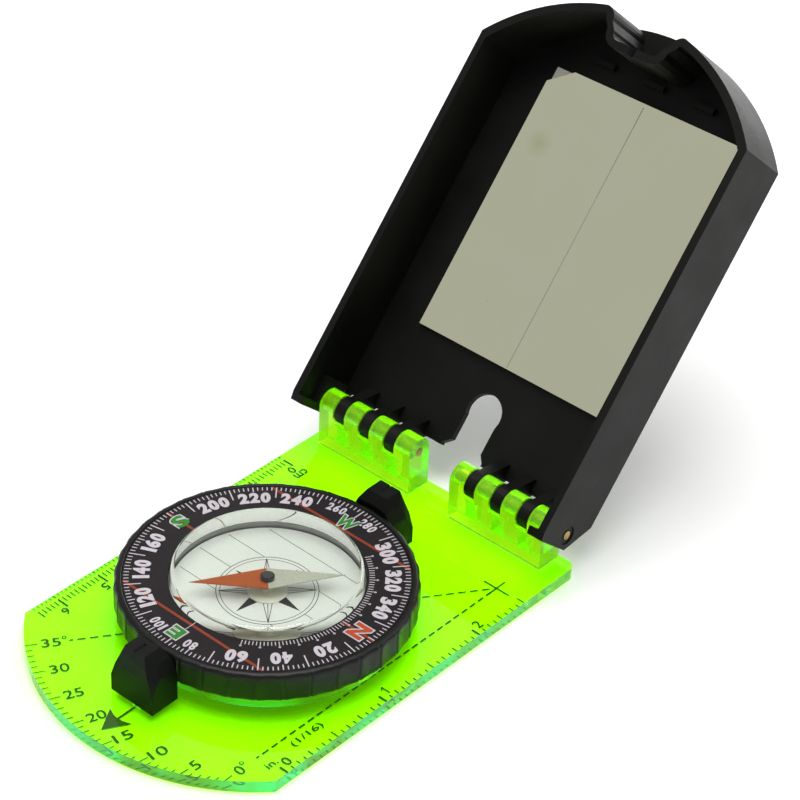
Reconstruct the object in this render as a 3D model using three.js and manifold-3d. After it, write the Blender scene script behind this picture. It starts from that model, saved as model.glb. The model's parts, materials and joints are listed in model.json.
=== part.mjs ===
// A folding mirror sighting compass: a clear green base plate with a rotating bezel and a
// liquid-filled needle capsule, and a black cover with a mirror, hinged on two brass pins.
//
// Millimetres, +Z up. The base plate lies flat on z = 0. The origin is the point on the plate's
// underside, on its centreline, straight below the hinge axis. +Y points from the dial towards the
// hinge end, and +X to the right when the user looks along +Y.
import * as THREE from "three";
import { mergeVertices } from "three/addons/utils/BufferGeometryUtils.js";
import { ConvexGeometry } from "three/addons/geometries/ConvexGeometry.js";
import Module from "manifold-3d";

const wasm = await Module();
wasm.setup();

// ---------------------------------------------------------------- driving dimensions

const HALF_WIDTH = 31.8; // of the plate
const REACH = 92.8; // from the hinge axis to the tip of the plate's rounded end
const END_BULGE = 14.4; // how far the rounded end stands out past its shoulders
const PLATE_THICKNESS = 2.5;
const PLATE_TAIL = 3.3; // plate beyond the hinge axis
const CORNER_RADIUS = 2;
const OPEN_ANGLE = 131; // of the cover, from closed

const GAP = 0.3; // between pieces that touch on the real object

const HINGE_HEIGHT = 11.3;
const HINGE_SHIFT = -0.8; // middle of the two rows of knuckles, from the centreline
const KNUCKLE_RADIUS = 2.87;
const KNUCKLE_WIDTH = 3.6;
const KNUCKLE_PITCH = 6.55;
const KNUCKLES_PER_SIDE = 4;
const ROW_GAP_LEFT = -5.4; // edges of the open space between the two rows of knuckles
const ROW_GAP_RIGHT = 4.8;
const FIRST_KNUCKLE = 7; // centre of the innermost knuckle, from the middle of the rows
const FINGER_WIDTH = 2.4;
const FINGER_RADIUS = 2.8;
const PIN_RADIUS = 0.9;
const PIN_RUNNING_RADIUS = 1.05; // bore of the knuckles and of the cover's fingers

const DIAL_Y = -47.7;
const BEZEL_RADIUS = 28;
const BEZEL_BOTTOM = 6;
const BEZEL_TOP = 11.8;
const BEZEL_GRIPS = 36;
const GRIP_DEPTH = 0.3;
const CARD_RADIUS = 26.4;
const CARD_INNER_RADIUS = 18.2;
const CARD_TOP = 11.66;
const CARD_THICKNESS = 0.5;
const BOSS_RADIUS = 25.4;
const BOSS_TOP = 5.6;
const WINDOW_RADIUS = 20;

const CAPSULE_RADIUS = 17.6;
const CAPSULE_WALL = 1.2;
const CAPSULE_BOTTOM = 2.9;
const CAPSULE_TOP = 13.85;
const LENS_THICKNESS = 1.3;
const FLOOR_TOP = 2.6;
const FLOOR_BOTTOM = 1.5;

const NEEDLE_HALF_LENGTH = 14.1;
const NEEDLE_HALF_WIDTH = 2.9;
const NEEDLE_THICKNESS = 0.35;
const NEEDLE_HEIGHT = 8;
const NEEDLE_HEADING = 228.5; // of the red end, anticlockwise from +X

const CLIP_HALF_WIDTH = 5.2;
const CLIP_OUTER = 34.2; // outer face, from the dial's axis
const CLIP_TOP = 14.1;

const COVER_HALF_WIDTH = 31.9;
const COVER_SHIFT = -0.4; // centre of the cover, from the centreline
const COVER_REACH = 93.4; // from the hinge axis to the tip of the cover's rounded end
const COVER_BULGE = 15.2;
const WALL = 1.5; // of the cover's sides
const COVER_RIM = -8.6; // rim of the closed cover, from the hinge axis
const COVER_BACK = 7; // outer face of the closed cover, from the hinge axis
const COVER_FLOOR = 5.6; // inner face of the closed cover
const COVER_TAIL = 2.8; // side walls beyond the hinge axis

const MIRROR_HALF_WIDTH = 22.4;
const MIRROR_NEAR = 22; // edge nearest the hinge, from the hinge axis
const MIRROR_FAR = 79.55;
const MIRROR_SHIFT = 0.5; // centre of the mirror, from the centreline
const MIRROR_THICKNESS = 0.8;
const PAD_THICKNESS = 0.25;

// ---------------------------------------------------------------- materials

function material(color, roughness, metalness = 0, opacity = 1) {
  return new THREE.MeshStandardMaterial({
    color,
    roughness,
    metalness,
    opacity,
    transparent: opacity < 1,
  });
}

const GREEN_ACRYLIC = material(0x9cff00, 0.12, 0, 0.8);
const CLEAR_ACRYLIC = material(0xf2f5f0, 0.05, 0, 0.35);
const BLACK_PLASTIC = material(0x14160f, 0.42);
const GRIP_PLASTIC = material(0x1b1d18, 0.5);
const CARD_PRINT = material(0x2a282c, 0.55);
const GREY_PLASTIC = material(0x7d827b, 0.5);
const WHITE_PLASTIC = material(0xdfe2d0, 0.5);
const RUBBER = material(0x303030, 0.85);
const BRASS = material(0xb08d3c, 0.35, 1);
const STEEL = material(0xb8babd, 0.3, 1);
const NEEDLE_PAINT = material(0xd65a20, 0.45);
const JEWEL = material(0xb0204a, 0.1);
const MIRROR_GLASS = material(0xa5a894, 0.03, 1);
const FOAM_TAPE = material(0xe6e4da, 0.9);

// ---------------------------------------------------------------- solids

// A three.js geometry as a manifold-3d solid, for cutting and joining.
function solid(geometry) {
  const bare = geometry.clone();
  bare.deleteAttribute("normal");
  bare.deleteAttribute("uv");
  const merged = mergeVertices(bare, 1e-4);
  return new wasm.Manifold(
    new wasm.Mesh({
      numProp: 3,
      vertProperties: new Float32Array(merged.attributes.position.array),
      triVerts: new Uint32Array(merged.index.array),
    }),
  );
}

// A manifold-3d solid as a named three.js mesh.
function piece(name, body, look) {
  const result = body.getMesh();
  const geometry = new THREE.BufferGeometry();
  geometry.setAttribute("position", new THREE.BufferAttribute(result.vertProperties, 3));
  geometry.setIndex(new THREE.BufferAttribute(result.triVerts, 1));
  geometry.computeVertexNormals();
  const mesh = new THREE.Mesh(geometry, look);
  mesh.name = name;
  return mesh;
}

// A flat outline drawn in x and y, raised from one height to another.
function slab(shape, bottom, top, curveSegments = 24) {
  const geometry = new THREE.ExtrudeGeometry(shape, {
    depth: top - bottom,
    bevelEnabled: false,
    curveSegments,
  });
  geometry.translate(0, 0, bottom);
  return solid(geometry);
}

// An outline drawn in y and z, spread along x from one side to the other.
function sidewaysSlab(shape, left, right, curveSegments = 24) {
  const geometry = new THREE.ExtrudeGeometry(shape, {
    depth: right - left,
    bevelEnabled: false,
    curveSegments,
  });
  const toYZ = new THREE.Matrix4().makeBasis(
    new THREE.Vector3(0, 1, 0),
    new THREE.Vector3(0, 0, 1),
    new THREE.Vector3(1, 0, 0),
  );
  geometry.applyMatrix4(toYZ);
  geometry.translate(left, 0, 0);
  return solid(geometry);
}

function block(x0, x1, y0, y1, z0, z1) {
  const geometry = new THREE.BoxGeometry(x1 - x0, y1 - y0, z1 - z0);
  geometry.translate((x0 + x1) / 2, (y0 + y1) / 2, (z0 + z1) / 2);
  return solid(geometry);
}

function upright(radius, z0, z1, x = 0, y = 0, segments = 40) {
  const geometry = new THREE.CylinderGeometry(radius, radius, z1 - z0, segments);
  geometry.rotateX(Math.PI / 2);
  geometry.translate(x, y, (z0 + z1) / 2);
  return solid(geometry);
}

function sideways(radius, x0, x1, segments = 20) {
  const geometry = new THREE.CylinderGeometry(radius, radius, x1 - x0, segments);
  geometry.rotateZ(Math.PI / 2);
  geometry.translate((x0 + x1) / 2, 0, 0);
  return solid(geometry);
}

// A closed profile of [radius, height] pairs, turned about the vertical axis. The profile runs
// anticlockwise when radius points right and height points up.
function turned(profile, segments = 48) {
  const points = profile.map(([r, z]) => new THREE.Vector2(r, z));
  const onAxis = profile[0][0] === 0;
  if (!onAxis) points.push(points[0].clone());
  const geometry = new THREE.LatheGeometry(points, segments);
  geometry.rotateX(Math.PI / 2);
  return solid(geometry);
}

function polygon(points) {
  return new THREE.Shape(points.map(([x, y]) => new THREE.Vector2(x, y)));
}

// ---------------------------------------------------------------- outlines

// An outline with straight sides and one rounded end that stands out by bulge and reaches y = -reach.
// The other end is square, at y = tail, or has its corners rounded.
function bodyOutline(halfWidth, reach, bulge, tail, cornerRadius = 0) {
  const radius = (halfWidth ** 2 + bulge ** 2) / (2 * bulge);
  const centre = radius - reach;
  const shoulder = Math.asin(halfWidth / radius);
  const back = tail - cornerRadius;
  const corner = halfWidth - cornerRadius;
  const shape = new THREE.Shape();
  shape.moveTo(halfWidth, back);
  if (cornerRadius > 0) {
    shape.absarc(corner, back, cornerRadius, 0, Math.PI / 2, false);
    shape.absarc(-corner, back, cornerRadius, Math.PI / 2, Math.PI, false);
  } else {
    shape.lineTo(-halfWidth, back);
  }
  shape.lineTo(-halfWidth, centre - radius * Math.cos(shoulder));
  shape.absarc(0, centre, radius, -Math.PI / 2 - shoulder, -Math.PI / 2 + shoulder, false);
  shape.closePath();
  return shape;
}

// ---------------------------------------------------------------- base plate

const SLOT_WIDTH = KNUCKLE_PITCH - KNUCKLE_WIDTH;
const BLOCK_OUTER = FIRST_KNUCKLE + (KNUCKLES_PER_SIDE - 1) * KNUCKLE_PITCH + KNUCKLE_WIDTH / 2;

// Centres of the gaps between neighbouring knuckles on one side, which the cover's fingers fill.
function fingerPlaces() {
  const places = [];
  for (let i = 0; i < KNUCKLES_PER_SIDE - 1; i += 1) {
    places.push(FIRST_KNUCKLE + (i + 0.5) * KNUCKLE_PITCH);
  }
  return places;
}

// A row of knuckles: a round-topped block that stands on the plate, slotted for the fingers. The
// slots stay open at the back, where the fingers swing down as the cover opens.
function knuckleBlock(side) {
  const left = side > 0 ? ROW_GAP_RIGHT : HINGE_SHIFT - BLOCK_OUTER;
  const right = side > 0 ? HINGE_SHIFT + BLOCK_OUTER : ROW_GAP_LEFT;
  const profile = new THREE.Shape();
  profile.moveTo(-KNUCKLE_RADIUS, PLATE_THICKNESS - 0.5);
  profile.lineTo(KNUCKLE_RADIUS, PLATE_THICKNESS - 0.5);
  profile.lineTo(KNUCKLE_RADIUS, HINGE_HEIGHT);
  profile.absarc(0, HINGE_HEIGHT, KNUCKLE_RADIUS, 0, Math.PI, false);
  profile.closePath();
  let row = sidewaysSlab(profile, left, right, 12);
  for (const place of fingerPlaces()) {
    const x0 = HINGE_SHIFT + side * place - SLOT_WIDTH / 2;
    const x1 = x0 + SLOT_WIDTH;
    const round = sideways(FINGER_RADIUS + 0.35, x0, x1, 24).translate([0, 0, HINGE_HEIGHT]);
    const backCut = block(x0, x1, 0, 5, HINGE_HEIGHT - 7.4, HINGE_HEIGHT + 4);
    row = row.subtract(round).subtract(backCut);
  }
  const bore = sideways(PIN_RUNNING_RADIUS, left - 1, right + 1, 16).translate([0, 0, HINGE_HEIGHT]);
  return row.subtract(bore);
}

const COLLAR_INNER = 20.6;
const COLLAR_OUTER = 22;
const COLLAR_TOP = 8.6;
const SCREW_OFFSET = 31.6; // clip screws, from the dial's axis
const SCREW_CLEARANCE = 1.1;
const SCREW_HEAD_RADIUS = 1.6;
const SCREW_HEAD_TOP = 1.3;

function basePlate() {
  const outline = bodyOutline(HALF_WIDTH, REACH, END_BULGE, PLATE_TAIL, CORNER_RADIUS);
  let plate = slab(outline, 0, PLATE_THICKNESS, 20);
  const boss = turned([
    [WINDOW_RADIUS, 1],
    [BOSS_RADIUS, 1],
    [BOSS_RADIUS, BOSS_TOP],
    [COLLAR_OUTER, BOSS_TOP],
    [COLLAR_OUTER, COLLAR_TOP],
    [COLLAR_INNER, COLLAR_TOP],
    [COLLAR_INNER, BOSS_TOP],
    [WINDOW_RADIUS, BOSS_TOP],
  ]);
  plate = plate.add(boss.translate([0, DIAL_Y, 0]));
  plate = plate.subtract(upright(WINDOW_RADIUS, -1, BOSS_TOP + 1, 0, DIAL_Y, 48));
  for (const end of [-1, 1]) {
    const y = DIAL_Y + end * SCREW_OFFSET;
    plate = plate.subtract(upright(SCREW_CLEARANCE, -1, PLATE_THICKNESS + 1, 0, y, 16));
    plate = plate.subtract(upright(SCREW_HEAD_RADIUS + GAP, -1, SCREW_HEAD_TOP, 0, y, 16));
  }
  for (const side of [-1, 1]) plate = plate.add(knuckleBlock(side));
  return piece("base_plate", plate, GREEN_ACRYLIC);
}

// ---------------------------------------------------------------- bezel clips and their screws

const SCREW_TIP = 8.6;

// A faceted block outside the bezel, narrowing to a small flat top with an index groove, and a
// short lip over the bezel's rim.
function bezelClip(name, end) {
  const rings = [
    { z: PLATE_THICKNESS + GAP, at: [[CLIP_HALF_WIDTH, CLIP_OUTER], [5, 27]] },
    { z: 6.4, at: [[CLIP_HALF_WIDTH, CLIP_OUTER], [5, 27]] },
    { z: 9.4, at: [[4.2, 34.1], [5, 32.4], [4.6, 27.1]] },
    { z: 12, at: [[3, 33.7], [3.9, 31.6], [3.6, 28.2]] },
    { z: CLIP_TOP, at: [[2.4, 33.2], [2.4, 29.5]] },
  ];
  const points = [];
  for (const { z, at } of rings) {
    for (const [x, r] of at) {
      points.push(new THREE.Vector3(x, end * r, z));
      points.push(new THREE.Vector3(-x, end * r, z));
    }
  }
  let clip = solid(new ConvexGeometry(points));
  const lipBottom = BEZEL_TOP + GAP;
  clip = clip.subtract(upright(BEZEL_RADIUS + GAP, 0, lipBottom, 0, 0, 72));
  clip = clip.subtract(upright(BEZEL_RADIUS - 0.7, 0, CLIP_TOP + 1, 0, 0, 72));
  const groove = new THREE.CylinderGeometry(0.35, 0.35, 5, 4);
  groove.translate(0, end * 33.1, CLIP_TOP);
  clip = clip.subtract(solid(groove));
  clip = clip.subtract(upright(SCREW_CLEARANCE, 0, SCREW_TIP + 0.6, 0, end * SCREW_OFFSET, 16));
  return piece(name, clip.translate([0, DIAL_Y, 0]), BLACK_PLASTIC);
}

function clipScrew(name, end) {
  const shank = 0.8;
  const screw = turned(
    [
      [0, 0.2],
      [SCREW_HEAD_RADIUS - 0.3, 0.2],
      [SCREW_HEAD_RADIUS, 0.5],
      [SCREW_HEAD_RADIUS, SCREW_HEAD_TOP - 0.1],
      [shank, SCREW_HEAD_TOP - 0.1],
      [shank, SCREW_TIP - 1],
      [0, SCREW_TIP],
    ],
    16,
  );
  const slot = block(-SCREW_HEAD_RADIUS * 0.65, SCREW_HEAD_RADIUS * 0.65, -0.2, 0.2, 0, 0.6);
  const cross = slot.add(slot.rotate([0, 0, 90]));
  const body = screw.subtract(cross).translate([0, DIAL_Y + end * SCREW_OFFSET, 0]);
  return piece(name, body, STEEL);
}

// ---------------------------------------------------------------- bezel and dial card

// The bezel's outline, with a shallow hollow between each two of its narrow grip ridges.
function gripOutline() {
  const steps = 4;
  const points = [];
  for (let i = 0; i < BEZEL_GRIPS * steps; i += 1) {
    const angle = (i * 2 * Math.PI) / (BEZEL_GRIPS * steps);
    const across = (i % steps) / steps;
    const radius = BEZEL_RADIUS - GRIP_DEPTH * Math.sin(Math.PI * across);
    points.push([radius * Math.cos(angle), radius * Math.sin(angle)]);
  }
  return polygon(points);
}

function bezelRing() {
  const seat = CARD_TOP - CARD_THICKNESS - 0.1;
  const web = 9.5;
  const section = turned(
    [
      [25.6, BEZEL_BOTTOM],
      [27.5, BEZEL_BOTTOM],
      [BEZEL_RADIUS + 0.1, BEZEL_BOTTOM + 0.6],
      [BEZEL_RADIUS + 0.1, BEZEL_TOP - 1],
      [27.2, BEZEL_TOP],
      [CARD_RADIUS + 0.15, BEZEL_TOP],
      [CARD_RADIUS + 0.15, seat],
      [18, seat],
      [18, 7.4],
      [20.2, 7.4],
      [20.2, web],
      [22.4, web],
      [22.4, BEZEL_BOTTOM],
      [23.6, BEZEL_BOTTOM],
      [23.6, web],
      [25.6, web],
    ],
    72,
  );
  const grips = slab(gripOutline(), BEZEL_BOTTOM - 1, BEZEL_TOP + 1);
  return piece("bezel_ring", section.intersect(grips).translate([0, DIAL_Y, 0]), GRIP_PLASTIC);
}

function dialCard() {
  const card = turned(
    [
      [CARD_INNER_RADIUS, CARD_TOP - CARD_THICKNESS],
      [CARD_RADIUS, CARD_TOP - CARD_THICKNESS],
      [CARD_RADIUS, CARD_TOP],
      [CARD_INNER_RADIUS, CARD_TOP],
    ],
    48,
  );
  return piece("dial_card", card.translate([0, DIAL_Y, 0]), CARD_PRINT);
}

// ---------------------------------------------------------------- capsule

const PLUG_RADIUS = 0.8;
const PLUG_HEIGHT = 8.6;
const PLUG_HEADING = -52; // anticlockwise from +X

// The plug's axis, lying across the capsule's wall.
function acrossWall(radius, r0, r1) {
  const geometry = new THREE.CylinderGeometry(radius, radius, r1 - r0, 20);
  geometry.rotateZ(Math.PI / 2);
  geometry.translate((r0 + r1) / 2, 0, PLUG_HEIGHT);
  geometry.rotateZ(THREE.MathUtils.degToRad(PLUG_HEADING));
  return solid(geometry);
}

// The clear cup that closes the capsule from above: lens and wall in one moulding.
function capsuleCup() {
  const inner = CAPSULE_RADIUS - CAPSULE_WALL;
  const ceiling = CAPSULE_TOP - LENS_THICKNESS;
  const cup = turned([
    [0, ceiling],
    [inner - 0.6, ceiling],
    [inner, ceiling - 0.6],
    [inner, CAPSULE_BOTTOM],
    [CAPSULE_RADIUS, CAPSULE_BOTTOM],
    [CAPSULE_RADIUS, CAPSULE_TOP - 0.9],
    [CAPSULE_RADIUS - 0.2, CAPSULE_TOP - 0.35],
    [CAPSULE_RADIUS - 0.7, CAPSULE_TOP],
    [0, CAPSULE_TOP],
  ]);
  const hole = acrossWall(PLUG_RADIUS + 0.12, inner - 1, CAPSULE_RADIUS + 1);
  return piece("capsule_cup", cup.subtract(hole).translate([0, DIAL_Y, 0]), CLEAR_ACRYLIC);
}

function fillerPlug() {
  const plug = acrossWall(PLUG_RADIUS, CAPSULE_RADIUS - CAPSULE_WALL, CAPSULE_RADIUS - 0.1);
  return piece("filler_plug", plug.translate([0, DIAL_Y, 0]), WHITE_PLASTIC);
}

const SEAL_INNER = 16.3;

// The clear floor, which carries the printed rose and north lines, with a rebate for the seal.
function capsuleFloor() {
  const rebate = FLOOR_TOP - 0.5;
  const floor = turned([
    [0, FLOOR_BOTTOM],
    [CAPSULE_RADIUS, FLOOR_BOTTOM],
    [CAPSULE_RADIUS, rebate],
    [SEAL_INNER - 0.2, rebate],
    [SEAL_INNER - 0.2, FLOOR_TOP],
    [0, FLOOR_TOP],
  ]);
  return piece("capsule_floor", floor.translate([0, DIAL_Y, 0]), CLEAR_ACRYLIC);
}

function capsuleSeal() {
  const seal = turned([
    [SEAL_INNER, FLOOR_TOP - 0.35],
    [CAPSULE_RADIUS - 0.1, FLOOR_TOP - 0.35],
    [CAPSULE_RADIUS - 0.1, CAPSULE_BOTTOM - 0.15],
    [SEAL_INNER, CAPSULE_BOTTOM - 0.15],
  ]);
  return piece("capsule_seal", seal.translate([0, DIAL_Y, 0]), RUBBER);
}

// The ring that carries the capsule in the plate's window, with a ledge under the floor.
function capsuleRing() {
  const outer = WINDOW_RADIUS - GAP;
  const inner = CAPSULE_RADIUS + 0.25;
  const ring = turned([
    [SEAL_INNER, 0.6],
    [outer, 0.6],
    [outer, 7],
    [inner, 7],
    [inner, FLOOR_BOTTOM - 0.2],
    [SEAL_INNER, FLOOR_BOTTOM - 0.2],
  ]);
  return piece("capsule_ring", ring.translate([0, DIAL_Y, 0]), GREY_PLASTIC);
}

const PIN_SHANK = 0.35;
const PIN_TIP = 7.95;

function pivotBase() {
  const base = turned(
    [
      [PIN_SHANK + 0.1, FLOOR_TOP + 0.1],
      [3.6, FLOOR_TOP + 0.1],
      [3.6, FLOOR_TOP + 0.45],
      [1.1, FLOOR_TOP + 0.75],
      [0.9, FLOOR_TOP + 1.9],
      [PIN_SHANK + 0.1, FLOOR_TOP + 1.9],
    ],
    24,
  );
  return piece("pivot_base", base.translate([0, DIAL_Y, 0]), WHITE_PLASTIC);
}

function pivotPin() {
  const pin = turned(
    [
      [0, FLOOR_TOP + 0.15],
      [PIN_SHANK, FLOOR_TOP + 0.15],
      [PIN_SHANK, PIN_TIP - 1],
      [0, PIN_TIP],
    ],
    12,
  );
  return piece("pivot_pin", pin.translate([0, DIAL_Y, 0]), STEEL);
}

// ---------------------------------------------------------------- needle

const HUB_RADIUS = 0.85;
const HUB_BORE = 0.62;
const HUB_TOP = 8.9;
const JEWEL_BOTTOM = 7.7;

function needleBlade() {
  const bottom = NEEDLE_HEIGHT - NEEDLE_THICKNESS / 2;
  const blade = slab(
    polygon([
      [NEEDLE_HALF_LENGTH, 0],
      [0, NEEDLE_HALF_WIDTH],
      [-NEEDLE_HALF_LENGTH, 0],
      [0, -NEEDLE_HALF_WIDTH],
    ]),
    bottom,
    bottom + NEEDLE_THICKNESS,
  );
  const hole = upright(HUB_RADIUS + 0.12, 0, 20, 0, 0, 20);
  const body = blade.subtract(hole).rotate([0, 0, NEEDLE_HEADING]);
  return piece("needle_blade", body.translate([0, DIAL_Y, 0]), NEEDLE_PAINT);
}

function needleHub() {
  const flangeTop = NEEDLE_HEIGHT - NEEDLE_THICKNESS / 2 - 0.1;
  const hub = turned(
    [
      [HUB_BORE, flangeTop - 0.5],
      [1.3, flangeTop - 0.5],
      [1.3, flangeTop],
      [HUB_RADIUS, flangeTop],
      [HUB_RADIUS, HUB_TOP],
      [0, HUB_TOP],
      [0, HUB_TOP - 0.3],
      [HUB_BORE, HUB_TOP - 0.3],
    ],
    20,
  );
  return piece("needle_hub", hub.translate([0, DIAL_Y, 0]), BRASS);
}

// The cup-shaped jewel that rides on the pin's point.
function needleJewel() {
  const radius = HUB_BORE - 0.1;
  const jewel = turned(
    [
      [0, PIN_TIP + 0.08],
      [radius - 0.14, JEWEL_BOTTOM],
      [radius, JEWEL_BOTTOM],
      [radius, HUB_TOP - 0.4],
      [0, HUB_TOP - 0.4],
    ],
    16,
  );
  return piece("needle_jewel", jewel.translate([0, DIAL_Y, 0]), JEWEL);
}

function needleCap() {
  const bottom = NEEDLE_HEIGHT + NEEDLE_THICKNESS / 2 + 0.1;
  const top = HUB_TOP + 0.9;
  const cap = turned(
    [
      [HUB_RADIUS + 0.1, bottom],
      [1.3, bottom],
      [1.3, top - 0.3],
      [1, top],
      [0, top],
      [0, HUB_TOP + 0.1],
      [HUB_RADIUS + 0.1, HUB_TOP + 0.1],
    ],
    20,
  );
  return piece("needle_cap", cap.translate([0, DIAL_Y, 0]), BLACK_PLASTIC);
}

// ---------------------------------------------------------------- cover
//
// The cover's pieces are drawn closed, with the hinge axis as their origin: the back is on top, the
// rim points down, and the rounded end is at negative y. Their group then swings them open.

const NICHE_OUTER = 6.9; // half-width of the sighting niche where its sides start to round outwards
const NICHE_INNER = 5.6;
const NICHE_DEPTH = 86.8; // of the niche's inner face, from the hinge axis
const NICHE_WALL = 1.6;
const NICHE_FILLET = 1.6; // radius in the niche's inner corners
const NICHE_SHOULDER = 2.4; // radius where its sides meet the rounded end
const SHOULDER_FACE = 92.35; // where that rounding ends, from the hinge axis
const KEYHOLE_RADIUS = 4;
const KEYHOLE_NECK = 3.7; // half-width of the opening below the round part
const KEYHOLE_CENTRE = 12.3; // from the hinge axis
const FLOOR_START = 3.05; // floor's edge, from the hinge axis

function nicheOutline(grow) {
  const side = [];
  const inner = NICHE_FILLET + grow;
  for (let i = 0; i <= 4; i++) {
    const angle = Math.PI / 2 - (Math.PI / 2) * (i / 4);
    side.push([
      NICHE_INNER - NICHE_FILLET + inner * Math.cos(angle),
      -NICHE_DEPTH - NICHE_FILLET + inner * Math.sin(angle),
    ]);
  }
  const outer = NICHE_SHOULDER - grow;
  for (let i = 0; i <= 5; i++) {
    const angle = Math.PI + (Math.PI / 2) * (i / 5);
    side.push([
      NICHE_OUTER + NICHE_SHOULDER + outer * Math.cos(angle),
      NICHE_SHOULDER - SHOULDER_FACE + outer * Math.sin(angle),
    ]);
  }
  side.push([NICHE_OUTER + NICHE_SHOULDER, -COVER_REACH - 2]);
  const mirrored = side.map(([x, y]) => [-x, y]);
  return polygon([...mirrored, ...side.reverse()]);
}

// The keyhole in the cover's floor, open to the gap between the two rows of fingers.
function keyhole() {
  const lean = Math.acos(KEYHOLE_NECK / KEYHOLE_RADIUS);
  const neckEnd = KEYHOLE_RADIUS * Math.sin(lean) - KEYHOLE_CENTRE;
  const shape = new THREE.Shape();
  shape.moveTo(KEYHOLE_NECK, neckEnd);
  shape.lineTo(KEYHOLE_NECK, -5);
  shape.lineTo(ROW_GAP_RIGHT, -3.6);
  shape.lineTo(ROW_GAP_RIGHT, 5);
  shape.lineTo(ROW_GAP_LEFT, 5);
  shape.lineTo(ROW_GAP_LEFT, -3.6);
  shape.lineTo(-KEYHOLE_NECK, -5);
  shape.lineTo(-KEYHOLE_NECK, neckEnd);
  shape.absarc(0, -KEYHOLE_CENTRE, KEYHOLE_RADIUS, Math.PI - lean, 2 * Math.PI + lean, false);
  return slab(shape, 0, COVER_BACK + 1, 16);
}

// A finger runs from the cover's floor round the hinge pin.
function hingeFinger(centre) {
  const x0 = centre - FINGER_WIDTH / 2;
  const x1 = centre + FINGER_WIDTH / 2;
  const eye = sideways(FINGER_RADIUS, x0, x1, 24);
  const arm = sidewaysSlab(
    polygon([
      [0, 0],
      [0, FINGER_RADIUS],
      [-FLOOR_START, COVER_BACK],
      [-FLOOR_START - 3, COVER_BACK],
      [-FLOOR_START - 3, COVER_FLOOR - 0.6],
      [-FINGER_RADIUS, 0],
    ]),
    x0,
    x1,
  );
  return eye.add(arm);
}

// The lugs on the cover's floor that locate the mirror's far edge while its tape is pressed down.
function mirrorLug(x) {
  return block(x - 2.4, x + 2.4, -MIRROR_FAR - 4.6, -MIRROR_FAR - 3.4, COVER_FLOOR - 1.1, COVER_FLOOR + 0.5);
}

// The slope that takes the corner off the cover's back where it comes round the hinge.
function hingeChamfer() {
  const tail = COVER_TAIL + 4;
  const outline = polygon([
    [tail, COVER_BACK + 1],
    [-FLOOR_START - 1.1, COVER_BACK + 1],
    [-FLOOR_START, COVER_BACK],
    [COVER_TAIL, 1.45],
    [tail, 0.3],
  ]);
  return sidewaysSlab(outline, -HALF_WIDTH - 2, HALF_WIDTH + 2);
}

// The bevel at the rim's hinge corner, which lets the side walls swing past the plate.
function rimRelief() {
  const outline = polygon([
    [1, COVER_RIM - 0.01],
    [1, COVER_RIM - 1.5],
    [COVER_TAIL + 1, COVER_RIM - 1.5],
    [COVER_TAIL + 1, COVER_RIM + 0.85],
  ]);
  return sidewaysSlab(outline, -HALF_WIDTH - 2, HALF_WIDTH + 2);
}

function coverShell() {
  const outline = bodyOutline(COVER_HALF_WIDTH, COVER_REACH, COVER_BULGE, COVER_TAIL);
  const outer = slab(outline, COVER_RIM, COVER_BACK, 24).translate([COVER_SHIFT, 0, 0]);
  const inside = COVER_HALF_WIDTH - WALL;
  const hollowOutline = bodyOutline(inside, COVER_REACH - WALL, COVER_BULGE - 0.4, COVER_TAIL + 3);
  const hollowFull = slab(hollowOutline, COVER_RIM - 1, COVER_FLOOR, 24);
  const hollow = hollowFull.translate([COVER_SHIFT, 0, 0]);
  const niche = slab(nicheOutline(0), COVER_RIM - 1, COVER_FLOOR);
  const nicheBlock = slab(nicheOutline(NICHE_WALL), COVER_RIM - 1, COVER_FLOOR);
  const left = HINGE_SHIFT - BLOCK_OUTER - GAP;
  const right = HINGE_SHIFT + BLOCK_OUTER + GAP;
  const room = block(left, right, -FLOOR_START, COVER_TAIL + 4, COVER_RIM - 1, COVER_BACK + 1);
  const sightGroove = new THREE.CylinderGeometry(0.8, 0.8, 6, 4);
  sightGroove.translate(0, -NICHE_DEPTH + NICHE_WALL / 2, COVER_RIM);

  let shell = outer.subtract(hollow.subtract(nicheBlock)).subtract(niche);
  const faces = [COVER_SHIFT - COVER_HALF_WIDTH, COVER_SHIFT + COVER_HALF_WIDTH];
  for (const [x0, x1] of [[faces[0] + 1, left], [right, faces[1] - 1]]) {
    shell = shell.add(block(x0, x1, -4.4, COVER_TAIL, -3.4, 4));
    shell = shell.add(block(x0, x1, COVER_TAIL - 1.6, COVER_TAIL, COVER_RIM, 0));
  }
  shell = shell.subtract(room).subtract(keyhole());
  for (const side of [-1, 1]) {
    for (const place of fingerPlaces()) shell = shell.add(hingeFinger(HINGE_SHIFT + side * place));
  }
  shell = shell.subtract(hingeChamfer()).subtract(rimRelief()).subtract(solid(sightGroove));
  for (const x of [-12, 0, 12]) shell = shell.add(mirrorLug(x));
  shell = shell.subtract(sideways(PIN_RUNNING_RADIUS, -HALF_WIDTH - 2, HALF_WIDTH + 2));
  for (const face of faces) {
    shell = shell.subtract(sideways(1.9, face - 0.25, face + 0.25));
  }
  return piece("cover_shell", shell, BLACK_PLASTIC);
}

// A flat sheet on the cover's floor, between two depths.
function coverSheet(inset, z0, z1) {
  const left = MIRROR_SHIFT - MIRROR_HALF_WIDTH + inset;
  const right = MIRROR_SHIFT + MIRROR_HALF_WIDTH - inset;
  return block(left, right, -MIRROR_FAR + inset, -MIRROR_NEAR - inset, z0, z1);
}

const PAD_TOP = COVER_FLOOR - 0.1;
const MIRROR_BACK = PAD_TOP - PAD_THICKNESS - 0.1;

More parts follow.
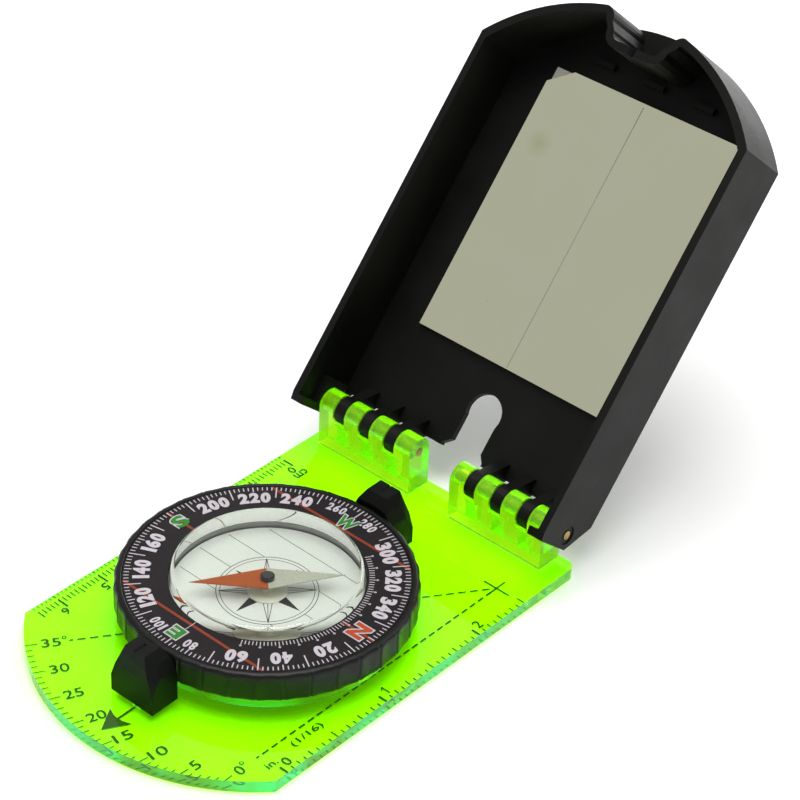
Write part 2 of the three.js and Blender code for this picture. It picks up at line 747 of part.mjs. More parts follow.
// The mirror has lost one far corner, where the tape behind it shows.
function mirror() {
  const corner = 5;
  const left = MIRROR_SHIFT - MIRROR_HALF_WIDTH;
  const chip = slab(
    polygon([
      [left - 1, -MIRROR_FAR + corner * 0.75],
      [left - 1, -MIRROR_FAR - 1],
      [left + corner, -MIRROR_FAR - 1],
      [left + corner, -MIRROR_FAR],
      [left, -MIRROR_FAR + corner * 0.75],
    ]),
    0,
    COVER_BACK,
  );
  const glass = coverSheet(0, MIRROR_BACK - MIRROR_THICKNESS, MIRROR_BACK).subtract(chip);
  return piece("mirror", glass, MIRROR_GLASS);
}

function mirrorTape() {
  return piece("mirror_tape", coverSheet(0.3, PAD_TOP - PAD_THICKNESS, PAD_TOP), FOAM_TAPE);
}

function hingePin(name, side) {
  const outer = COVER_SHIFT + side * (COVER_HALF_WIDTH - 0.1);
  const inner = side > 0 ? ROW_GAP_RIGHT : ROW_GAP_LEFT;
  const pin = sideways(PIN_RADIUS, Math.min(inner, outer), Math.max(inner, outer), 16);
  return piece(name, pin, BRASS);
}

// ---------------------------------------------------------------- assembly

const cover = new THREE.Group();
cover.add(coverShell(), mirror(), mirrorTape());
cover.add(hingePin("hinge_pin_left", -1), hingePin("hinge_pin_right", 1));
cover.position.z = HINGE_HEIGHT;
cover.rotation.x = -THREE.MathUtils.degToRad(OPEN_ANGLE);

const compass = new THREE.Group();
compass.add(basePlate());
compass.add(bezelClip("front_clip", -1), bezelClip("rear_clip", 1));
compass.add(clipScrew("front_clip_screw", -1), clipScrew("rear_clip_screw", 1));
compass.add(bezelRing(), dialCard());
compass.add(capsuleCup(), capsuleFloor(), capsuleSeal(), capsuleRing(), fillerPlug());
compass.add(pivotBase(), pivotPin());
compass.add(needleBlade(), needleHub(), needleJewel(), needleCap());
compass.add(cover);

export default compass;
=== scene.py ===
"""The looks of a folding mirror sighting compass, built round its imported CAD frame.

Metres, in the CAD's frame: +Z up out of the base plate, +Y towards the hinge, +X to the right.
Sizes of the printing are in millimetres and are turned to metres where the meshes are made.
"""

import json
import math

import bpy
from mathutils import Matrix, Vector


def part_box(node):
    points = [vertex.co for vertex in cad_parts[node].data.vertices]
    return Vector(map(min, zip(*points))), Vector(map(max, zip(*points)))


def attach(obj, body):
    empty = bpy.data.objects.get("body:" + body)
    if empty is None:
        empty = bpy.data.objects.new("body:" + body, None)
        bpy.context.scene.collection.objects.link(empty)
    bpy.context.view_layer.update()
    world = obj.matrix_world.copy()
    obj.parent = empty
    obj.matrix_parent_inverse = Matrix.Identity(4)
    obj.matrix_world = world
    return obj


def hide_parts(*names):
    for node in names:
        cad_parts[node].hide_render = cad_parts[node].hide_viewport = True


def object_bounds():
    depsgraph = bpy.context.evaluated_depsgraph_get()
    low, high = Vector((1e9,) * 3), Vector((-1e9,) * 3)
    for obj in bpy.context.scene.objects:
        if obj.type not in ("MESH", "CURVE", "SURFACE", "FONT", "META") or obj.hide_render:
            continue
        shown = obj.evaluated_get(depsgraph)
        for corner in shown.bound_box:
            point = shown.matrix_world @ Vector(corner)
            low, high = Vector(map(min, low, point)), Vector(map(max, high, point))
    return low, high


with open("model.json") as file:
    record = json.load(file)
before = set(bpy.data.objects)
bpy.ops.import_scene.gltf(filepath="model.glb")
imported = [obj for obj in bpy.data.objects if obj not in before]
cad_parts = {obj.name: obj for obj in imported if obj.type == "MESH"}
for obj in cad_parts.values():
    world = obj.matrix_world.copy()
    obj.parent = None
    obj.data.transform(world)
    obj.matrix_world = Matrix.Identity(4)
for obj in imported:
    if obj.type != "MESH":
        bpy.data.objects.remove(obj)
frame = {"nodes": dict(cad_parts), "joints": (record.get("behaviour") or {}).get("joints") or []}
cad_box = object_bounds()
nodes = frame["nodes"]
joints = {joint["name"]: joint for joint in frame["joints"]}

MM = 0.001


# ---------------------------------------------------------------- places taken from the frame

def box_mm(node):
    low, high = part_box(node)
    return low / MM, high / MM


bezel_low, bezel_high = box_mm("bezel_ring")
card_low, card_high = box_mm("dial_card")
floor_low = box_mm("capsule_floor")[0]
cup_high = box_mm("capsule_cup")[1]
seal_high = box_mm("capsule_seal")[1]
needle_low, needle_high = box_mm("needle_blade")
plate_low, plate_high = box_mm("base_plate")

DIAL = Vector(((bezel_low.x + bezel_high.x) / 2, (bezel_low.y + bezel_high.y) / 2, 0))
HINGE = Vector(joints["cover_hinge"]["pos_m"]) / MM
OPEN_ANGLE = math.radians(-joints["cover_hinge"]["range_deg"][0])
# Takes a point drawn on the closed cover, with the hinge axis as origin, to where it is at rest.
COVER = Matrix.Translation(HINGE) @ Matrix.Rotation(-OPEN_ANGLE, 4, "X")


# ---------------------------------------------------------------- materials

class Look:
    """A procedural material, with short calls for the nodes it is made of."""

    def __init__(self, name):
        self.material = bpy.data.materials.new(name)
        self.material.use_nodes = True
        self.tree = self.material.node_tree
        self.tree.nodes.clear()
        self.output = self.add("ShaderNodeOutputMaterial")
        self.place = self.add("ShaderNodeTexCoord").outputs["Object"]

    def add(self, kind, **settings):
        node = self.tree.nodes.new(kind)
        for name, value in settings.items():
            setattr(node, name, value)
        return node

    def put(self, socket, value):
        if isinstance(value, bpy.types.NodeSocket):
            self.tree.links.new(value, socket)
        elif value is not None:
            socket.default_value = value

    def noise(self, scale, detail=3.0, roughness=0.55, stretch=None):
        place = self.place
        if stretch:
            mapping = self.add("ShaderNodeMapping")
            self.put(mapping.inputs["Vector"], place)
            mapping.inputs["Scale"].default_value = stretch
            place = mapping.outputs["Vector"]
        node = self.add("ShaderNodeTexNoise")
        self.put(node.inputs["Vector"], place)
        node.inputs["Scale"].default_value = scale
        node.inputs["Detail"].default_value = detail
        node.inputs["Roughness"].default_value = roughness
        return node.outputs["Fac"]

    def span(self, value, low, high, to_low, to_high):
        node = self.add("ShaderNodeMapRange")
        self.put(node.inputs["Value"], value)
        for socket, number in (
            ("From Min", low), ("From Max", high), ("To Min", to_low), ("To Max", to_high),
        ):
            node.inputs[socket].default_value = number
        return node.outputs["Result"]

    def math(self, operation, a, b=None):
        node = self.add("ShaderNodeMath", operation=operation)
        self.put(node.inputs[0], a)
        self.put(node.inputs[1], b)
        return node.outputs[0]

    def blend(self, share, a, b):
        node = self.add("ShaderNodeMix", data_type="RGBA")
        self.put(node.inputs["Factor"], share)
        colours = [s for s in node.inputs if s.type == "RGBA"]
        self.put(colours[0], a)
        self.put(colours[1], b)
        return [s for s in node.outputs if s.type == "RGBA"][0]

    def axis(self, index):
        split = self.add("ShaderNodeSeparateXYZ")
        self.put(split.inputs[0], self.place)
        return split.outputs[index]

    def bump(self, height, distance, strength=1.0, under=None):
        node = self.add("ShaderNodeBump")
        self.put(node.inputs["Height"], height)
        node.inputs["Distance"].default_value = distance
        node.inputs["Strength"].default_value = strength
        self.put(node.inputs["Normal"], under)
        return node.outputs["Normal"]

    def surface(self, **sockets):
        node = self.add("ShaderNodeBsdfPrincipled")
        for name, value in sockets.items():
            self.put(node.inputs[name.replace("_", " ")], value)
        return node.outputs["BSDF"]

    def light_passes(self, shader, tint):
        """Lets lamps shine through a clear piece: for shadow rays it is a plain tinted filter."""
        through = self.add("ShaderNodeBsdfTransparent")
        through.inputs["Color"].default_value = tint
        mix = self.add("ShaderNodeMixShader")
        self.put(mix.inputs[0], self.add("ShaderNodeLightPath").outputs["Is Shadow Ray"])
        self.put(mix.inputs[1], shader)
        self.put(mix.inputs[2], through.outputs[0])
        return mix.outputs[0]

    def done(self, shader):
        self.put(self.output.inputs["Surface"], shader)
        return self.material


def rgb(red, green, blue):
    return (red, green, blue, 1.0)


def moulded_plastic(name, colour, worn, roughness, gloss=0.4):
    """A dark moulded plastic: fine grain, faint handling marks and a slightly uneven satin."""
    look = Look(name)
    cloud = look.noise(90, 4)
    marks = look.noise(1500, 2, 0.6, stretch=(1, 0.14, 0.5))
    fine = look.noise(7000, 2, 0.7)
    share = look.span(cloud, 0.35, 0.75, 0.0, 1.0)
    tone = look.blend(share, colour, worn)
    rough = look.math("ADD", look.span(cloud, 0.3, 0.7, roughness - 0.05, roughness + 0.06),
                      look.span(marks, 0.62, 0.8, 0.0, -0.08))
    normal = look.bump(fine, 0.00002, 0.6)
    normal = look.bump(cloud, 0.00012, 0.35, normal)
    return look.done(look.surface(Base_Color=tone, Roughness=rough, IOR=1.5,
                                  Specular_IOR_Level=gloss, Normal=normal))


def ink(name, colour, edge, roughness=0.5):
    """Printing ink or paint, with a film that is a little uneven."""
    look = Look(name)
    film = look.noise(2600, 4, 0.6)
    tone = look.blend(look.span(film, 0.35, 0.7, 0.0, 1.0), colour, edge)
    rough = look.span(look.noise(900, 3), 0.3, 0.7, roughness - 0.06, roughness + 0.08)
    normal = look.bump(film, 0.000012, 0.5)
    return look.done(look.surface(Base_Color=tone, Roughness=rough, IOR=1.5,
                                  Specular_IOR_Level=0.2, Normal=normal))


SHEET_THICKNESS = 2.6  # of the base plate's flat part, with a little to spare
BACK_EDGE = 1.5  # depth of the strip along the plate's back that gets no painted edge light and keeps the faces' colour


def green_acrylic():
    """Clear acrylic with a fluorescent dye. A faint painted glow lies all over it, and a painted
    cooler light, turquoise in colour and glow, lies on its thin outer edge, except along the back,
    under the hinge. What stands up from the plate is a little less clear."""
    look = Look("fluorescent_green_acrylic")
    normal = look.add("ShaderNodeSeparateXYZ")
    look.put(normal.inputs[0], look.add("ShaderNodeNewGeometry").outputs["Normal"])
    upright = look.span(look.math("ABSOLUTE", normal.outputs[2]), 0.25, 0.75, 1.0, 0.0)
    plate_top = (plate_low.z + SHEET_THICKNESS) * MM
    at_edge = look.math("MULTIPLY", look.math("LESS_THAN", look.axis(2), plate_top),
                        look.math("LESS_THAN", look.axis(1), (plate_high.y - BACK_EDGE) * MM))
    streak = look.noise(70, 3, 0.5, stretch=(1, 1, 0.2))
    # painted edge light: the sheet's side faces get a turquoise tone and a strong glow, in uneven
    # streaks
    painted_edge_light = look.math("MULTIPLY", look.math("MULTIPLY", upright, at_edge),
                     look.span(streak, 0.42, 0.58, 0.12, 1.0))
    cloud = look.noise(60, 3)
    body = look.blend(look.span(cloud, 0.3, 0.75, 0.0, 1.0),
                      rgb(0.49, 0.95, 0.006), rgb(0.54, 0.97, 0.012))
    # painted edge light in the base colour: turquoise on the thin edge
    tone = look.blend(painted_edge_light, body, rgb(0.14, 0.96, 0.42))
    # painted glow: an emission colour over the whole plate, much stronger on the painted edge light
    painted_glow = look.blend(painted_edge_light, rgb(0.34, 1.0, 0.0), rgb(0.5, 7.4, 2.2))
    scuffs = look.noise(5200, 2, 0.7, stretch=(1, 0.12, 1))
    raised = look.span(look.axis(2), plate_top, plate_top + 0.001, 0.0, 1.0)
    rough = look.math("ADD", look.span(scuffs, 0.6, 0.85, 0.03, 0.14),
                      look.math("MULTIPLY", raised, 0.16))
    clear = look.span(raised, 0.0, 1.0, 0.98, 0.84)
    ripple = look.bump(look.noise(180, 2), 0.00008, 0.12)
    # the emission colour and strength are painted glow
    acrylic = look.surface(Base_Color=tone, Roughness=rough, IOR=1.49, Transmission_Weight=clear,
                           Emission_Color=painted_glow, Emission_Strength=0.05,
                           Specular_IOR_Level=0.15, Normal=ripple)
    return look.done(look.light_passes(acrylic, rgb(0.60, 0.98, 0.10)))


def clear_acrylic(name, ior, tint=rgb(0.985, 0.995, 0.975)):
    """A clear polished piece with hairline scratches."""
    look = Look(name)
    hairlines = look.noise(6000, 2, 0.7, stretch=(1, 0.08, 1))
    rough = look.span(hairlines, 0.66, 0.9, 0.0, 0.05)
    normal = look.bump(look.noise(120, 2), 0.00004, 0.1)
    clear = look.surface(Base_Color=tint, Roughness=rough, IOR=ior, Transmission_Weight=1.0,
                         Normal=normal)
    return look.done(look.light_passes(clear, rgb(0.95, 0.97, 0.94)))


def metal(name, colour, dull, roughness, stretch):
    """Turned or drawn metal with some tarnish; stretch sets the way its fine lines run."""
    look = Look(name)
    turning = look.noise(2400, 3, 0.6, stretch=stretch)
    tarnish = look.noise(700, 4)
    tone = look.blend(look.span(tarnish, 0.4, 0.75, 0.0, 1.0), colour, dull)
    rough = look.math("ADD", look.span(turning, 0.3, 0.7, roughness - 0.08, roughness + 0.1),
                      look.span(tarnish, 0.45, 0.75, 0.0, 0.15))
    normal = look.bump(turning, 0.00001, 0.5)
    return look.done(look.surface(Base_Color=tone, Roughness=rough, Metallic=1.0, Normal=normal))


MIRROR_SPOT = (-16.8, -64.0, 3.5)  # a stain near the mirror's left edge, on the closed cover


def mirror_glass():
    """Silvered glass with a faint bloom, one soft olive stain and a few aged specks."""
    look = Look("silvered_mirror_glass")
    bloom = look.noise(55, 4, 0.6)
    specks = look.noise(240, 5, 0.65)
    tone = look.blend(look.span(bloom, 0.4, 0.8, 0.0, 0.6), rgb(0.96, 0.955, 0.72),
                      rgb(0.93, 0.92, 0.66))
    tone = look.blend(look.span(specks, 0.70, 0.80, 0.0, 0.5), tone, rgb(0.55, 0.55, 0.38))
    away = look.add("ShaderNodeVectorMath", operation="DISTANCE")
    look.put(away.inputs[0], look.place)
    away.inputs[1].default_value = COVER @ Vector(MIRROR_SPOT) * MM
    spot = look.math("MULTIPLY", look.span(away.outputs["Value"], 0.0004, 0.0034, 0.62, 0.0),
                     look.span(specks, 0.3, 0.65, 0.55, 1.0))
    tone = look.blend(spot, tone, rgb(0.68, 0.72, 0.34))
    rough = look.span(bloom, 0.3, 0.8, 0.02, 0.06)
    normal = look.bump(look.noise(40, 2), 0.0003, 0.03)
    return look.done(look.surface(Base_Color=tone, Roughness=rough, Metallic=1.0, Normal=normal,
                                  Coat_Weight=0.3, Coat_Roughness=0.02))


def foam_tape():
    """The pale tape behind the mirror, open-celled and matt."""
    look = Look("pale_backing_tape")
    cells = look.noise(5000, 4, 0.7)
    tone = look.blend(cells, rgb(0.62, 0.62, 0.56), rgb(0.80, 0.79, 0.73))
    normal = look.bump(cells, 0.00006, 0.8)
    return look.done(look.surface(Base_Color=tone, Roughness=0.85, Normal=normal))


GREEN = green_acrylic()
CAPSULE_CLEAR = clear_acrylic("capsule_clear_acrylic_and_liquid", 1.5)
COVER_BLACK = moulded_plastic("cover_black_plastic", rgb(0.0024, 0.0026, 0.002),
                              rgb(0.0046, 0.005, 0.004), 0.5, gloss=0.2)
CLIP_BLACK = moulded_plastic("clip_black_plastic", rgb(0.003, 0.0035, 0.003),
                             rgb(0.005, 0.006, 0.0045), 0.45, gloss=0.16)
BEZEL_BLACK = moulded_plastic("bezel_black_plastic", rgb(0.005, 0.0055, 0.0045),
                              rgb(0.009, 0.010, 0.0075), 0.34, gloss=0.28)
CARD_BLACK = ink("dial_card_black", rgb(0.0115, 0.0085, 0.0105),
                 rgb(0.017, 0.0135, 0.016), 0.42)
RING_GREY = moulded_plastic("capsule_ring_grey_plastic", rgb(0.30, 0.31, 0.29),
                            rgb(0.35, 0.36, 0.34), 0.45)
PALE_PLASTIC = moulded_plastic("pivot_pale_plastic", rgb(0.68, 0.70, 0.55),
                               rgb(0.76, 0.78, 0.64), 0.5)
CAP_BLACK = moulded_plastic("needle_cap_dark_plastic", rgb(0.012, 0.014, 0.013),
                            rgb(0.02, 0.022, 0.02), 0.35)
SEAL_RUBBER = moulded_plastic("seal_dark_rubber", rgb(0.02, 0.02, 0.02),
                              rgb(0.03, 0.03, 0.03), 0.7)
STEEL = metal("screw_steel", rgb(0.56, 0.56, 0.57), rgb(0.40, 0.39, 0.37), 0.28, (1, 1, 8))
BRASS = metal("pin_brass", rgb(0.46, 0.34, 0.10), rgb(0.20, 0.15, 0.05), 0.26, (0.2, 6, 6))
JEWEL = clear_acrylic("jewel_red", 1.76, rgb(0.75, 0.05, 0.16))
MIRROR = mirror_glass()
TAPE = foam_tape()
WHITE_INK = ink("dial_white_ink", rgb(0.52, 0.47, 0.52), rgb(0.62, 0.57, 0.61))
RED_INK = ink("dial_red_ink", rgb(0.42, 0.058, 0.018), rgb(0.48, 0.08, 0.028))
RED_LINE_INK = ink("dial_red_line_ink", rgb(0.24, 0.036, 0.014), rgb(0.28, 0.05, 0.022))
GREEN_INK = ink("dial_green_ink", rgb(0.023, 0.20, 0.018), rgb(0.035, 0.25, 0.03))
PLATE_INK = ink("plate_dark_green_ink", rgb(0.002, 0.018, 0.003), rgb(0.003, 0.03, 0.006))
TEAL_INK = ink("plate_teal_ink", rgb(0.0, 0.02, 0.75), rgb(0.0, 0.028, 0.85))
FLOOR_WHITE = ink("capsule_floor_white_ink", rgb(0.60, 0.63, 0.58), rgb(0.64, 0.67, 0.62), 0.6)
BLACK_INK = ink("capsule_black_ink", rgb(0.012, 0.014, 0.011), rgb(0.02, 0.022, 0.018))
NEEDLE_RED = ink("needle_orange_paint", rgb(0.30, 0.052, 0.001), rgb(0.345, 0.072, 0.002), 0.4)
NEEDLE_PALE = ink("needle_luminous_paint", rgb(0.33, 0.35, 0.275), rgb(0.41, 0.43, 0.35), 0.5)
SIGHT_LINE = ink("mirror_sight_line_ink", rgb(0.26, 0.265, 0.21), rgb(0.32, 0.325, 0.26), 0.4)


# ---------------------------------------------------------------- carried-over CAD nodes

def dress(name, material, round_mm=0.0, smooth=35.0):
    """Gives a CAD node its material, soft edges and smooth curves. Its mesh stays as it is."""
    node = nodes[name]
    node.data.materials.clear()
    node.data.materials.append(material)
    for face in node.data.polygons:
        face.use_smooth = True
        face.material_index = 0
    merge = node.modifiers.new("flat_faces", "DECIMATE")
    merge.decimate_type = "DISSOLVE"
    merge.angle_limit = math.radians(0.6)
    if round_mm:
        bevel = node.modifiers.new("soft_edges", "BEVEL")
        bevel.width = round_mm * MM
        bevel.segments = 2
        bevel.limit_method = "ANGLE"
        bevel.angle_limit = math.radians(smooth)
        bevel.harden_normals = True
    else:
        node.data.set_sharp_from_angle(angle=math.radians(smooth))


dress("base_plate", GREEN, 0.18)
dress("front_clip", CLIP_BLACK, 0.35, 22)
dress("rear_clip", CLIP_BLACK, 0.35, 22)
dress("front_clip_screw", STEEL)
dress("rear_clip_screw", STEEL)
dress("dial_card", CARD_BLACK)
dress("capsule_seal", SEAL_RUBBER)
dress("capsule_ring", RING_GREY, 0.12)
dress("filler_plug", PALE_PLASTIC)
dress("pivot_base", PALE_PLASTIC, 0.06)
dress("pivot_pin", STEEL)
dress("needle_hub", BRASS)
dress("needle_jewel", JEWEL)
dress("needle_cap", CAP_BLACK, 0.08)
dress("cover_shell", COVER_BLACK, 0.28)
dress("mirror", MIRROR, 0.05)
dress("mirror_tape", TAPE)
dress("hinge_pin_left", BRASS, 0.12)
dress("hinge_pin_right", BRASS, 0.12)


# ---------------------------------------------------------------- finer pieces

def add_mesh(name, verts, faces, materials, body, transform=None, face_materials=None):
    """A mesh piece, from points in millimetres, that rides on a CAD body."""
    place = transform or Matrix.Identity(4)
    data = bpy.data.meshes.new(name)
    data.from_pydata([tuple(place @ Vector(v) * MM) for v in verts], [], faces)
    data.update()
    for material in materials:
        data.materials.append(material)
    if face_materials:
        for face, index in zip(data.polygons, face_materials):
            face.material_index = index
    piece = bpy.data.objects.new(name, data)
    bpy.context.scene.collection.objects.link(piece)
    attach(piece, body)
    return piece


def smooth_by_angle(piece, degrees):
    for face in piece.data.polygons:
        face.use_smooth = True
    piece.data.set_sharp_from_angle(angle=math.radians(degrees))


def ring_mesh(profile, steps, radius_change=None):
    """A closed profile of (radius, height) points, turned round the dial's axis."""
    verts, faces = [], []
    count = len(profile)
    for i in range(steps):
        angle = 2 * math.pi * i / steps
        for radius, height in profile:
            r = radius - (radius_change(angle, radius) if radius_change else 0.0)
            verts.append((DIAL.x + r * math.cos(angle), DIAL.y + r * math.sin(angle), height))
    for i in range(steps):
        a, b = i * count, ((i + 1) % steps) * count
        for k in range(count):
            n = (k + 1) % count
            faces.append((a + k, b + k, b + n, a + n))
    return verts, faces


def solid_of_revolution(profile, steps):
    """Like ring_mesh, but the profile starts and ends on the axis."""
    inner = profile[1:-1]
    verts, faces = ring_mesh(inner, steps)
    faces = [f for f in faces if (f[3] - f[0]) == 1]
    first, last = len(verts), len(verts) + 1
    verts += [(DIAL.x, DIAL.y, profile[0][1]), (DIAL.x, DIAL.y, profile[-1][1])]
    count = len(inner)
    for i in range(steps):
        a, b = i * count, ((i + 1) % steps) * count
        faces.append((first, b, a))
        faces.append((last, a + count - 1, b + count - 1))
    return verts, faces


GRIPS = 36
GRIP_STEPS = 14  # faces across each grip hollow
GRIP_START = 27.0  # radius from which the bezel's side is shaped
GRIP_DEPTH, GROOVE_DEPTH = 0.22, 0.2


def grip_hollow(angle, radius):
    """How far the bezel's side stands back: shallow hollows with a fine groove between them."""
    if radius < GRIP_START:
        return 0.0
    across = (angle * GRIPS / (2 * math.pi)) % 1.0
    hollow = GRIP_DEPTH * math.sin(math.pi * across) ** 2
    groove = GROOVE_DEPTH * math.exp(-((min(across, 1 - across) / 0.035) ** 2))
    return (hollow + groove) * min(1.0, (radius - GRIP_START) / 0.9)


def bezel_body():
    """The bezel: a ribbed underside, a rounded gripped side and a seat for the dial card."""
    low, top = bezel_low.z, bezel_high.z
    rim = bezel_high.x - DIAL.x
    seat = card_low.z - 0.1
    card = card_high.x - DIAL.x + 0.12
    web = seat - 1.6
    bore, bore_low = 18.0, 7.4
    ribs = [(bore, bore_low), (20.2, bore_low), (20.2, web), (22.4, web), (22.4, low),
            (23.6, low), (23.6, web), (25.6, web), (25.6, low)]
    side = [(rim - 0.55, low), (rim - 0.2, low + 0.12), (rim - 0.03, low + 0.4),
            (rim, low + 0.9), (rim, top - 1.15), (rim - 0.06, top - 0.7),
            (rim - 0.3, top - 0.3), (rim - 0.7, top - 0.06), (rim - 1.1, top)]
    card_seat = [(card + 0.12, top), (card, top - 0.08), (card, seat), (bore, seat)]
    profile = ribs + side + card_seat
    verts, faces = ring_mesh(profile, GRIPS * GRIP_STEPS, grip_hollow)
    piece = add_mesh("bezel_body", verts, faces, [BEZEL_BLACK], "bezel")
    smooth_by_angle(piece, 32)
    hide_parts("bezel_ring")


def capsule_body():
    """Lens, wall, floor and liquid are all clear and nearly alike in refraction: one body."""
    radius = cup_high.x - DIAL.x
    wet = radius + 0.32  # up to lap, the clear body meets the grey ring's inner face
    low, top = floor_low.z, cup_high.z
    lap = seal_high.z + 3.0
    profile = [
        (0.0, low), (wet - 0.3, low), (wet, low + 0.1), (wet, lap), (radius, lap + 0.05),
        (radius, top - 0.75), (radius - 0.05, top - 0.5), (radius - 0.2, top - 0.25),
        (radius - 0.45, top - 0.07), (radius - 0.8, top), (0.0, top),
    ]
    verts, faces = solid_of_revolution(profile, 160)
    piece = add_mesh("capsule_clear_body", verts, faces, [CAPSULE_CLEAR], "capsule")
    smooth_by_angle(piece, 50)
    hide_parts("capsule_cup", "capsule_floor")


def needle():
    """A thin diamond blade with bevelled edges, orange on one half and pale on the other."""
    reach, half, thick, bevel = 14.1, 2.9, 0.32, 0.1
    hole, steps = 0.97, 24
    heading = math.radians(228.5)
    level = (needle_low.z + needle_high.z) / 2
    place = Matrix.Translation((DIAL.x, DIAL.y, level)) @ Matrix.Rotation(heading, 4, "Z")

    def outline(angle, inset):
        """The diamond's radius at a polar angle, moved in by inset."""
        c, s = abs(math.cos(angle)), abs(math.sin(angle))
        return (1 - inset / half) / (c / reach + s / half)

    verts, faces, looks = [], [], []
    rows = [(-thick / 2, None), (-thick / 2, bevel), (-thick / 2 + bevel, 0.0),
            (thick / 2 - bevel, 0.0), (thick / 2, bevel), (thick / 2, None)]
    for height, inset in rows:
        for i in range(steps):
            angle = 2 * math.pi * i / steps
            radius = hole if inset is None else outline(angle, inset)
            verts.append((radius * math.cos(angle), radius * math.sin(angle), height))
    for k in range(len(rows)):
        below, above = k * steps, (k + 1) % len(rows) * steps
        for i in range(steps):
            n = (i + 1) % steps
            faces.append((below + i, below + n, above + n, above + i))
            looks.append(0 if math.cos(2 * math.pi * (i + 0.5) / steps) > 0 else 1)
    piece = add_mesh("needle_fine_blade", verts, faces, [NEEDLE_RED, NEEDLE_PALE], "needle",
                     place, looks)
    piece.data.set_sharp_from_angle(angle=math.radians(30))
    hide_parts("needle_blade")


bezel_body()
capsule_body()
needle()


# ---------------------------------------------------------------- printing

class Print:
    """Flat printed shapes on one plane, in millimetres, gathered into one thin piece.

    Shapes are drawn about origin; build turns them into a film of ink that has a thickness.
    """

    def __init__(self, origin=(0.0, 0.0)):
        self.verts = []
        self.faces = []
        self.origin = origin

    def area(self, points):
        start = len(self.verts)
        self.verts += [(x + self.origin[0], y + self.origin[1]) for x, y in points]
        self.faces.append(tuple(range(start, start + len(points))))

    def stroke(self, a, b, width):
        dx, dy = b[0] - a[0], b[1] - a[1]
        size = math.hypot(dx, dy)
        nx, ny = -dy / size * width / 2, dx / size * width / 2
        self.area([(a[0] - nx, a[1] - ny), (b[0] - nx, b[1] - ny),
                   (b[0] + nx, b[1] + ny), (a[0] + nx, a[1] + ny)])

    def spoke(self, angle, r0, r1, width):
        c, s = math.cos(angle), math.sin(angle)
        self.stroke((r0 * c, r0 * s), (r1 * c, r1 * s), width)

    def circle(self, centre, radius, width, steps=96):
        for i in range(steps):
            a, b = (2 * math.pi * k / steps for k in (i, i + 1))
            self.area([(centre[0] + r * math.cos(t), centre[1] + r * math.sin(t))
                       for r, t in ((radius - width / 2, a), (radius + width / 2, a),
                                    (radius + width / 2, b), (radius - width / 2, b))])

    def dot(self, centre, radius, steps=14):
        self.area([(centre[0] + radius * math.cos(2 * math.pi * i / steps),
                    centre[1] + radius * math.sin(2 * math.pi * i / steps)) for i in range(steps)])

    def dashes(self, a, b, width, dash, gap):
        size = math.hypot(b[0] - a[0], b[1] - a[1])
        ux, uy = (b[0] - a[0]) / size, (b[1] - a[1]) / size
        at = 0.0
        while at < size:
            end = min(at + dash, size)
            self.stroke((a[0] + ux * at, a[1] + uy * at), (a[0] + ux * end, a[1] + uy * end), width)
            at += dash + gap

    def text(self, words, centre, height, width, reading, weight=0.0):
        """Words that fill a box of this height and width, read along the angle reading."""
        verts, faces = glyphs(words, weight)
        turn_c, turn_s = math.cos(reading), math.sin(reading)
        start = len(self.verts)
        for x, y in verts:
            u, v = x * width, y * height
            self.verts.append((centre[0] + u * turn_c - v * turn_s + self.origin[0],
                               centre[1] + u * turn_s + v * turn_c + self.origin[1]))
        self.faces += [tuple(i + start for i in face) for face in faces]

    def build(self, name, height, material, body, transform=None, thickness=0.02):
        verts = [(x, y, height) for x, y in self.verts]
        piece = add_mesh(name, verts, self.faces, [material], body, transform)
        film = piece.modifiers.new("ink_film", "SOLIDIFY")
        film.thickness = thickness * MM
        film.offset = 1.0
        return piece


GLYPHS = {}


def glyphs(words, weight):
    """Flat letter shapes from Blender's own font, fitted to a unit box about the origin."""
    key = (words, weight)
    if key not in GLYPHS:
        curve = bpy.data.curves.new("letters", "FONT")
        curve.body = words
        curve.size = 1.0
        curve.offset = weight
        curve.resolution_u = 4
        curve.fill_mode = "FRONT"
        holder = bpy.data.objects.new("letters", curve)
        bpy.context.scene.collection.objects.link(holder)
        bpy.context.view_layer.update()
        shapes = bpy.data.meshes.new_from_object(
            holder.evaluated_get(bpy.context.evaluated_depsgraph_get()))
        points = [(v.co.x, v.co.y) for v in shapes.vertices]
        faces = [tuple(face.vertices) for face in shapes.polygons]
        bpy.data.objects.remove(holder)
        bpy.data.curves.remove(curve)
        bpy.data.meshes.remove(shapes)
        lows = [min(p[i] for p in points) for i in (0, 1)]
        highs = [max(p[i] for p in points) for i in (0, 1)]
        GLYPHS[key] = (
            [tuple((p[i] - (lows[i] + highs[i]) / 2) / (highs[i] - lows[i]) for i in (0, 1))
             for p in points],
            faces,
        )
    return GLYPHS[key]


DIAL_TURN = math.radians(0.3)  # how far the dial is turned from its zero
RED_LINES = (-19.35, 0.0, 19.35)  # their distances from the dial's middle
RED_LINE_WIDTH = 0.58
CARD_INNER = 18.5  # radius at which the card's printing starts
CARD_MARGIN = 0.3  # plain strip round the card's outer edge
TICKS = {"long": (23.0, 0.24), "middle": (24.75, 0.22), "short": (25.15, 0.2)}  # start, width
DECLINATION_REACH = 60  # degrees marked each side of north on the inner scale
DECLINATION_START, DECLINATION_LONG, DECLINATION_SHORT = 18.55, 20.05, 19.55
LARGE_FIGURES = (20, 40, 60, 120, 140, 160, 200, 220, 240, 300, 320, 340)
SMALL_FIGURES = ((80, 1.3), (100, 1.2), (260, -0.4), (280, -1.8))  # with a shift in degrees
